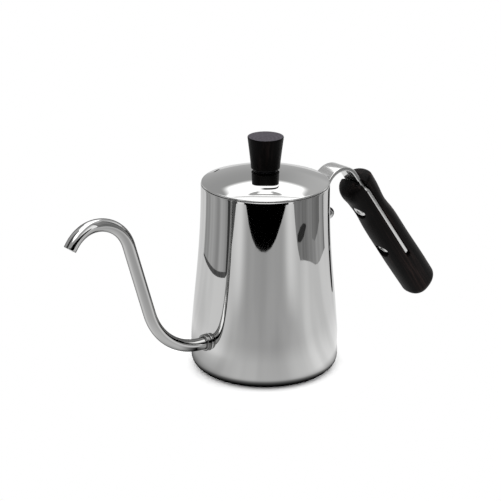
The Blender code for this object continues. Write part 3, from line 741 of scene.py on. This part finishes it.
def pan_screw(name, head_top, tip, place, body, cad_name):
    """Pan-head screw with a hexagon socket; the shank points up its own axis."""
    under = head_top + HEAD_H
    profile = [(0, head_top)]
    for i in range(1, 15):
        a = radians(90.0 * i / 14)
        profile.append((HEAD_R * sin(a) ** 0.8, head_top + 1.35 * (1 - cos(a))))
    profile += rounded([(HEAD_R, under - 0.6, 0), (HEAD_R, under, 0.12), (M4_R, under, 0.12),
                        (M4_R, tip - 0.5, 0)], steps=4)
    profile += [(M4_R - 0.45, tip), (0, tip)]
    screw = lathe(name, profile, 72, False)
    subtract(screw, rod(1.5, head_top - 1.0, head_top + 1.55, segs=6))
    screw.data.transform(place)
    bevel = screw.modifiers.new("soft_edges", "BEVEL")
    bevel.width, bevel.segments = 0.00010, 2
    bevel.limit_method, bevel.angle_limit = "ANGLE", radians(50)
    apply_modifiers(screw)
    smooth(screw, 40)
    finish_fastener(screw, body, cad_name)


def hexagonal(name, profile, place, closed):
    """Turned profile trimmed to the nuts' hexagon."""
    ob = lathe(name, profile, 144, closed)
    for v in ob.data.vertices:
        r = hypot(v.co.x, v.co.y)
        if r < 1e-7:
            continue
        a = (atan2(v.co.y, v.co.x) + pi / 6) % (pi / 3) - pi / 6
        limit = HEX_FLAT_R * MM / cos(a)
        if r > limit:
            v.co.x *= limit / r
            v.co.y *= limit / r
    ob.data.update()
    ob.data.transform(place)
    smooth(ob, 22)
    return ob


def nut_wall(near, far):
    """Outer wall of a nut from its far face to its near face, corners chamfered."""
    slope = [(HEX_FLAT_R + (HEX_CORNER_R - HEX_FLAT_R) * i / 6, HEX_CHAMFER * (i / 6) ** 2)
             for i in range(7)]
    return [(r, far - d) for r, d in slope] + [(r, near + d) for r, d in slope[::-1]]


def build_nuts():
    near, end = cap_nut_low.x, cap_nut_high.x
    far = near + 3.2                    # where the hexagon meets the dome
    dome_r, dome_start, bore_end = HEX_FLAT_R - 0.15, far + 0.7, end - 2.2
    profile = [(0, end)]
    profile += arc_points((0, dome_start), (dome_r, end - dome_start), pi / 2, 0, 18)[1:]
    profile += [(dome_r, far + 0.12), (dome_r + 0.02, far)] + nut_wall(near, far)
    profile += [(M4_BORE_R, near), (M4_BORE_R, bore_end), (0, bore_end)]
    finish_fastener(hexagonal("cap_nut", profile, UPPER_AXIS, closed=False),
                    "kettle", "cap_nut_upper")

    near, far, bore = plain_nut_low.x, plain_nut_high.x, M4_R + 0.06
    profile = [(bore, far)] + nut_wall(near, far) + [(bore, near)]
    finish_fastener(hexagonal("plain_nut", profile, LOWER_AXIS, closed=True),
                    "kettle", "strap_nut_lower")


def build_studs():
    for tag, place in (("upper", UPPER_AXIS), ("lower", LOWER_AXIS)):
        low, high = box_mm("strap_stud_" + tag)
        profile = rounded([(0, high.x, 0), (M4_R, high.x, 0.4), (M4_R, low.x, 0.05),
                           (0, low.x, 0)], steps=5)
        stud = lathe("weld_stud_" + tag, profile, 48, False, place)
        finish_fastener(stud, "kettle", "strap_stud_" + tag)


def build_standoff():
    standoff = washer("strap_standoff", (standoff_high.y - standoff_low.y) / 2, standoff_low.x,
                      standoff_high.x, fillets=(0.2, 0.1, 0), steps=5, place=UPPER_AXIS)
    finish_fastener(standoff, "kettle", "strap_spacer_upper")


# =========================================================== handle strap
drop = radians(HANDLE_DROP)
ALONG = Vector((cos(drop), 0.0, -sin(drop)))    # down the handle
OUT = Vector((sin(drop), 0.0, cos(drop)))       # square to it, away from the pot
TILT = atan2(OUT.x, OUT.z)
SHOULDER = Vector((SHOULDER_X, 0.0, SHOULDER_Z))
TANG_LEAD = 4.0                                 # closely spaced stations begin this far early


def on_handle(u, n=0.0):
    return SHOULDER + ALONG * u + OUT * n


def handle_axis(u):
    return placed(on_handle(u), TILT)


def strap_width(x, z):
    """Neck width, widening to the tang past the shoulder, with rounded ends."""
    from_shoulder = Vector((x - SHOULDER_X, 0, z - SHOULDER_Z))
    u = from_shoulder.dot(ALONG)
    on_tang = x > SHOULDER_X - 4 and abs(from_shoulder.dot(OUT)) < 0.5
    if on_tang and u > -3.0:
        width = STRAP_NECK + (STRAP_TANG - STRAP_NECK) * ease(u, -3.0, 3.4)
        corner, to_end = TANG_CORNER, TANG_LENGTH - u
    else:
        width, corner = STRAP_NECK, LEG_CORNER
        to_end = z - LEG_Z0 if x < LEG_X + 0.1 else 99.0
    if to_end < corner:
        reach = corner - max(to_end, 0.0)
        width -= 2 * (corner - sqrt(max(corner ** 2 - reach ** 2, 0.0)))
    return max(width, STRAP_NECK - 2 * LEG_CORNER)


def strap_path():
    path = [(LEG_X, LEG_Z0, 90.0)]
    for i in range(1, 13):
        path.append((LEG_X, LEG_Z0 + LEG_CORNER * (1 - cos(radians(90.0 * i / 12))), 90.0))
    z0 = path[-1][1]
    for i in range(1, 21):
        path.append((LEG_X, z0 + (STRAP_BEND_Z - z0) * i / 20, 90.0))
    bend(path, STRAP_BEND_R, -(90.0 + HANDLE_DROP), step=3.0)
    x, z, heading = path[-1]
    to_shoulder = (SHOULDER - Vector((x, 0, z))).dot(ALONG)
    straight(path, to_shoulder - TANG_LEAD, 5)
    straight(path, TANG_LEAD + 1.0, 20)
    straight(path, TANG_LENGTH - 1.0 - TANG_CORNER, 30)
    x, z, heading = path[-1]
    for i in range(1, 13):
        d = TANG_CORNER * sin(radians(90.0 * i / 12))
        path.append((x + d * cos(radians(heading)), z + d * sin(radians(heading)), heading))
    return path


def strap_section(width, corner=0.42, steps=5):
    """Rounded rectangle across the strap: (y, height off mid-sheet) pairs."""
    points = []
    flat_y, flat_n = width / 2 - corner, STRAP_T / 2 - corner
    for quarter, (side_y, side_n) in enumerate(((1, 1), (-1, 1), (-1, -1), (1, -1))):
        start = quarter * pi / 2
        points += arc_points((side_y * flat_y, side_n * flat_n), (corner, corner),
                             start, start + pi / 2, steps)
    return points


def build_strap():
    loops = []
    for x, z, heading in strap_path():
        a = radians(heading)
        normal = Vector((-sin(a), 0, cos(a)))
        loops.append([tuple(Vector((x, 0, z)) + normal * n + Vector((0, y, 0)))
                      for y, n in strap_section(strap_width(x, z))])
    strap = loft("handle_strap_formed", loops)
    tools = [rod(M4_BORE_R, 30.0, 40.0, place) for place in (UPPER_AXIS, LOWER_AXIS)]
    tools += [rod(M4_BORE_R, -5.0, 5.0, handle_axis(u)) for u in GRIP_SCREWS.values()]
    subtract(strap, *tools)
    smooth(strap, 50)
    finish_piece(strap, strap_brightened_steel, "kettle", "strap_steel", "handle_strap")


# ============================================================ wooden grip
def half_outer(u):
    """Depth of the grip on its side away from the pot."""
    return 9.6 - 1.3 * exp(-((u - 14.5) / 8.0) ** 2) + 0.6 * ease(u, 38.0, 30.0)


def half_inner(u):
    """Depth of the grip on its side towards the pot."""
    ear = 0.9 * exp(-((u + 0.5) / 4.0) ** 2) - 0.6 * exp(-((u - 15.0) / 7.0) ** 2)
    return 8.6 + 0.3 * ease(u, 10.0, 25.0) + ear - 0.4 * min(max((u - 55.0) / 20.0, 0.0), 1.0)


def end_round(u, top_length, low_length):
    """Share of the full section left near the grip's rounded ends."""
    d = u - GRIP_START
    if d < top_length:
        return sqrt(1 - ((top_length - d) / (top_length * 1.12)) ** 2)
    d = GRIP_END - u
    if d < low_length:
        return sqrt(1 - ((low_length - d) / (low_length * 1.05)) ** 2)
    return 1.0


def grip_stations():
    """Places down the grip, crowded towards both ends."""
    low_start = GRIP_END - GRIP_LOW_ROUND
    top = [GRIP_START + GRIP_TOP_ROUND * (1 - cos(radians(90.0 * i / 16))) for i in range(17)]
    middle = [top[-1] + (low_start - top[-1]) * i / 60 for i in range(1, 61)]
    low = [low_start + GRIP_LOW_ROUND * sin(radians(90.0 * i / 18)) for i in range(1, 19)]
    return top + middle + low


def grip_loop(u, segs=72, power=0.86):
    """Section of the grip; a power under 1 squares it a little."""
    depth_share = end_round(u, GRIP_TOP_ROUND, GRIP_LOW_ROUND)
    width_share = end_round(u, 2.4, 6.0)
    loop = []
    for k in range(segs):
        a = 2 * pi * k / segs
        ca, sa = cos(a), sin(a)
        depth = half_outer(u) if ca > 0 else half_inner(u)
        n = depth * depth_share * (abs(ca) ** power) * (1 if ca > 0 else -1)
        y = GRIP_HALF_WIDTH * width_share * (abs(sa) ** power) * (1 if sa > 0 else -1)
        p = on_handle(u, n)
        loop.append((p.x, y, p.z))
    return loop


def grip_tools():
    """The strap's slot, open at the top end, and the stepped screw holes."""
    slot_start, slot_end = GRIP_START - 10, TANG_LENGTH + 0.6
    tools = [block((slot_end - slot_start, 40.0, STRAP_T + 2 * GAP),
                   handle_axis((slot_start + slot_end) / 2))]
    for u in GRIP_SCREWS.values():
        place = handle_axis(u)
        tools.append(rod(COUNTERBORE_R, -16.0, SCREW_HEAD_TOP + HEAD_H + GAP, place))
        tools.append(rod(M4_BORE_R, -6.0, 0.0, place))
        tools.append(rod(INSERT_R + GAP, 0.0, 7.5, place))
    return tools


def build_grip():
    grip = loft("grip_handle", [grip_loop(u) for u in grip_stations()])
    subtract(grip, *grip_tools())
    # an even remesh, then smoothing, softens every cut edge
    remesh = grip.modifiers.new("remesh", "REMESH")
    remesh.mode, remesh.voxel_size = "VOXEL", 0.26 * MM
    apply_modifiers(grip)
    soften = grip.modifiers.new("soften", "SMOOTH")
    soften.factor, soften.iterations = 0.5, 3
    apply_modifiers(grip)
    grip.data.shade_smooth()
    finish_piece(grip, grip_wood, "kettle", "grip_wood", "wooden_grip")


def dress_inserts():
    """The hidden brass inserts keep their CAD shape."""
    for name in ("knob_insert", "grip_insert_upper", "grip_insert_lower"):
        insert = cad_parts[name]
        insert.data.materials.clear()
        insert.data.materials.append(insert_brass)
        smooth(insert, 35)


# ========================================================= build the kettle
build_pot()
build_base()
build_spout()
build_ferrule()
build_braze()
build_lid()
build_skirt()
build_knob()
build_knob_washers()
pan_screw("knob_fixing_screw", knob_screw_low.z, knob_screw_high.z, Matrix.Identity(4),
          "lid", "knob_screw")
build_strap()
build_nuts()
build_studs()
build_standoff()
build_grip()
for tag, u in GRIP_SCREWS.items():
    pan_screw("grip_fixing_screw_" + tag, SCREW_HEAD_TOP, SCREW_TIP, handle_axis(u),
              "kettle", "grip_screw_" + tag)
dress_inserts()


# ================================================================== floor
def tent_sheet(g, front, side, distance):
    """Brightness of the floor as the metal sees it: the pale sheet of a light tent."""
    facing = g.math("DIVIDE", front, distance)      # 1 straight towards the camera
    sheet = g.step(facing, start=0.40, end=1.0, low=0.76, high=0.44)
    near_glow = g.step(distance, start=0.05, end=0.13, low=0.16, high=0.0)
    # brighter far corners of the sheet, either side of the opening
    corners = g.band(facing, rise=(0.52, 0.74), fall=(0.76, 0.90))
    far_glow = g.times(corners, g.step(distance, start=0.17, end=0.38, high=0.42))
    glow = g.plus(near_glow, far_glow)
    # a soft shade on the sheet under the spout, to the camera's left
    leftward = g.step(g.math("DIVIDE", side, distance), start=-0.92, end=-0.45, low=1.0, high=0.0)
    close = g.step(distance, start=0.042, end=0.085, low=1.0, high=0.0)
    under_spout = g.times(leftward, close)
    # painted contact shadow: the sheet the metal sees goes dark close round the pot's base
    contact = g.step(distance, start=0.0345, end=0.0505)
    # folds of the cloth, running out from the kettle like spokes
    spokes = g.add("CombineXYZ", "Vector", {0: facing, 1: g.math("DIVIDE", side, distance),
                                            2: g.times(distance, 1.2)})
    cloth = g.noise(spokes, scale=2.6, detail=1.6)
    folds = g.step(cloth, start=0.34, end=0.66, low=0.93, high=1.07)
    return g.times(g.plus(sheet, glow), contact, folds, g.one_minus(g.times(under_spout, 0.5)))


def floor_paper():
    """Plain white to the camera with only a soft contact shadow; a tent sheet to the metal."""
    material, g = new_material("floor_paper")
    place = g.add("NewGeometry", "Position")
    front, side = g.dot(place, TO_CAMERA), g.dot(place, TO_RIGHT)
    side_squared = g.plus(g.times(side, side), 1e-6)    # the offset keeps distance off zero
    distance = g.math("SQRT", g.plus(g.times(front, front), side_squared))
    mirror_sheet = g.emission(tent_sheet(g, front, side, distance))
    g.principled({"Base Color": (0.92, 0.92, 0.92, 1), "Roughness": 1.0,
                  "Specular IOR Level": 0.0})
    paper = g.nodes["Principled BSDF"].outputs["BSDF"]
    to_camera = g.mix_shader(g.step(distance, start=0.043, end=0.058), paper, g.emission(1.0))
    g.surface(g.mix_shader(g.add("LightPath", "Is Camera Ray"), mirror_sheet, to_camera))
    return material


def build_floor(half=3000, z=-0.25):
    corners = [(-half, -half, z), (half, -half, z), (half, half, z), (-half, half, z)]
    floor = make_object("floor", corners, [(0, 1, 2, 3)])
    floor.data.materials.append(floor_paper())


build_floor()


# ============================================================ tent panels
def interpolate(table, x):
    if x <= table[0][0]:
        return table[0][1]
    for (a0, v0), (a1, v1) in zip(table, table[1:]):
        if x <= a1:
            return v0 + (v1 - v0) * (x - a0) / (a1 - a0)
    return table[-1][1]


def panel_cloth(name, level, streak, seed):
    """Glowing cloth with upright folds that vary the level by the share streak."""
    material, g = new_material(name)
    place = g.mapping(g.add("NewGeometry", "Position"), Scale=(1.0, 1.0, 0.12),
                      Location=(seed, seed, 0.0))
    folds = g.noise(place, scale=15.0, detail=2.0, roughness=0.55)
    g.surface(g.emission(g.step(folds, start=0.33, end=0.67, low=level * (1 - streak),
                                high=level * (1 + streak))))
    return material


def side_panel(name, lower, level, streak=0.0, seed=0.0, radius=202.0, upper=((0, 420.0),)):
    """Upright curved panel of the surround, seen only by mirrors. Its lower and upper edges
    are (azimuth, height) pairs, in degrees from the camera's side towards the camera's
    right, and mm."""
    start, end = lower[0][0], lower[-1][0]
    count = max(8, int(abs(end - start) / 0.75))
    verts, faces = [], []
    for i in range(count + 1):
        azimuth = start + (end - start) * i / count
        a = radians(azimuth)
        q = (TO_CAMERA * cos(a) + TO_RIGHT * sin(a)) * radius
        verts += [(q.x, q.y, interpolate(edge, azimuth)) for edge in (lower, upper)]
        if i:
            k = 2 * i
            faces.append((k - 2, k, k + 1, k - 1))
    panel = make_object(name, verts, faces)
    panel.data.materials.append(panel_cloth(name, level, streak, seed))
    for flag in ("camera", "diffuse", "shadow", "transmission", "volume_scatter"):
        setattr(panel, "visible_" + flag, False)


side_panel("tent_opening",
           [(-34, 37.4), (-30, 34.6), (-26, 32.2), (-20, 30.0), (-14, 28.6), (-6, 27.9),
            (2, 27.9), (10, 28.6), (18, 30.2), (26, 32.6), (32, 34.8), (38, 37.6)],
           level=0.0, radius=200.0, upper=[(0, 130.0)])
side_panel("tent_left_fold",
           [(-64, 14.0), (-62, 15.0), (-58, 20.5), (-54, 26.0), (-50, 32.0), (-46, 37.8)],
           level=0.09, streak=0.55, seed=1.0)
side_panel("tent_left_wall",
           [(-122, 4.0), (-112, 5.2), (-100, 6.8), (-90, 8.4), (-80, 10.4), (-70, 13.0),
            (-64, 14.6)],
           level=0.41, streak=0.26, seed=3.0)
side_panel("tent_left_hem",
           [(-122, 4.4), (-112, 5.0), (-100, 6.5), (-90, 8.0), (-80, 10.0), (-70, 12.4),
            (-64, 14.0)],
           level=0.09, streak=0.3, seed=2.0, radius=201.0,
           upper=[(-122, 5.4), (-112, 6.8), (-100, 8.6), (-90, 10.2), (-80, 12.2), (-70, 14.6),
                  (-64, 16.0)])
side_panel("tent_right_wall",
           [(46, 37.8), (50, 30.5), (54, 24.5), (58, 20.6), (64, 19.6), (70, 18.2), (76, 16.6),
            (82, 14.6), (88, 12.2), (94, 10.6), (100, 9.8), (110, 9.4), (118, 9.0)],
           level=0.30, streak=0.5, seed=7.0)
side_panel("tent_right_seam",
           [(54, 26.0), (60, 25.2), (66, 25.6), (71, 27.6)],
           level=0.03, streak=0.2, seed=5.0, radius=201.0,
           upper=[(54, 27.6), (60, 29.0), (66, 29.2), (71, 28.2)])
side_panel("tent_right_post",
           [(84, 22.0), (90, 20.0), (97, 21.0), (103, 24.0)],
           level=0.19, streak=0.35, seed=9.0, radius=201.0)


# ================================================================== world
def soft_box(g, side, side_reach, up, behind):
    """Bright overhead box, wider higher up, crossed behind the kettle by a thin hoop and
    a flattened lamp ring."""
    reach = g.math("SUBTRACT", side_reach, g.step(up, start=0.70, end=0.80, high=0.10))
    box = g.times(g.step(up, start=0.57, end=0.65),
                  g.step(reach, start=0.215, end=0.275, low=1.0, high=0.0))
    hoop_height = g.plus(up, g.times(g.times(side, side), 1.245))
    hoop = g.band(hoop_height, rise=(0.824, 0.831), fall=(0.838, 0.845))
    # the lamp ring is an ellipse about 52 degrees up
    across = g.math("DIVIDE", side, 0.098)
    upright = g.math("DIVIDE", g.math("SUBTRACT", up, 0.795), 0.0195)
    ring = g.plus(g.times(across, across), g.times(upright, upright))
    lamp = g.band(ring, rise=(0.25, 0.42), fall=(1.2, 1.8))
    dimmed = g.times(g.step(ring, start=1.5, end=3.0, low=1.0, high=0.0), 0.12)
    lines = g.times(g.math("MAXIMUM", hoop, g.times(lamp, 1.3)), behind)
    return g.times(box, g.one_minus(g.times(lines, 0.72)), g.one_minus(g.times(dimmed, behind)))


def build_world():
    """Grey studio surround with brighter flanks and the overhead box. Diffuse rays see an
    even sky instead, and the camera sees white."""
    world = bpy.data.worlds.new("studio")
    bpy.context.scene.world = world
    world.use_nodes = True
    g = Graph(world.node_tree)
    direction = g.add("TexCoord", "Generated")
    front, side = g.dot(direction, TO_CAMERA), g.dot(direction, TO_RIGHT)
    up = g.dot(direction, (0, 0, 1))
    side_reach = g.math("ABSOLUTE", side)
    behind = g.step(front, start=-0.25, end=0.05, low=1.0, high=0.0)
    box = soft_box(g, side, side_reach, up, behind)
    wall = g.step(up, start=-0.1, end=0.5, low=0.50, high=0.42)
    flanks = g.times(g.step(side_reach, start=0.55, end=0.80), g.step(up, start=-0.2, end=0.0))
    right = g.times(g.step(side, start=0.03, end=0.30, high=0.17),
                    g.step(up, start=0.10, end=0.30))
    level = g.plus(g.plus(wall, g.times(flanks, 0.75)), g.times(right, behind))
    level = g.plus(g.times(box, 1.5), level)
    even = g.step(up, start=-0.1, end=0.6, low=1.1, high=1.75)
    is_diffuse = g.add("LightPath", "Is Diffuse Ray")
    is_camera = is_diffuse.node.outputs["Is Camera Ray"]
    level = g.mix_value(is_camera, g.mix_value(is_diffuse, level, even), 1.0)
    g.feed(g.nodes["Background"], {"Strength": level, "Color": (1, 1, 1, 1)})


# ================================================================= camera
CAMERA_PLACE = (-0.4755, -0.5557, 0.3288)       # metres
CAMERA_PAN = radians(40.0)                      # from +Y towards +X
CAMERA_DIP, CAMERA_ROLL = radians(20.29), radians(0.2)


def build_camera():
    data = bpy.data.cameras.new("camera")
    camera = bpy.data.objects.new("camera", data)
    bpy.context.scene.collection.objects.link(camera)
    data.sensor_width, data.lens = 36.0, 114.2
    data.clip_start, data.clip_end = 0.01, 20.0
    level = Vector((cos(CAMERA_PAN), -sin(CAMERA_PAN), 0.0))
    ahead = Vector((sin(CAMERA_PAN) * cos(CAMERA_DIP), cos(CAMERA_PAN) * cos(CAMERA_DIP),
                    -sin(CAMERA_DIP)))
    upward = level.cross(ahead)
    right = level * cos(CAMERA_ROLL) + upward * sin(CAMERA_ROLL)
    top = upward * cos(CAMERA_ROLL) - level * sin(CAMERA_ROLL)
    turn = Matrix((right, top, -ahead)).transposed().to_4x4()
    camera.matrix_world = Matrix.Translation(CAMERA_PLACE) @ turn
    bpy.context.scene.camera = camera


build_world()
bpy.context.scene.view_settings.view_transform = "Standard"
bpy.context.scene.view_settings.look = "None"
build_camera()
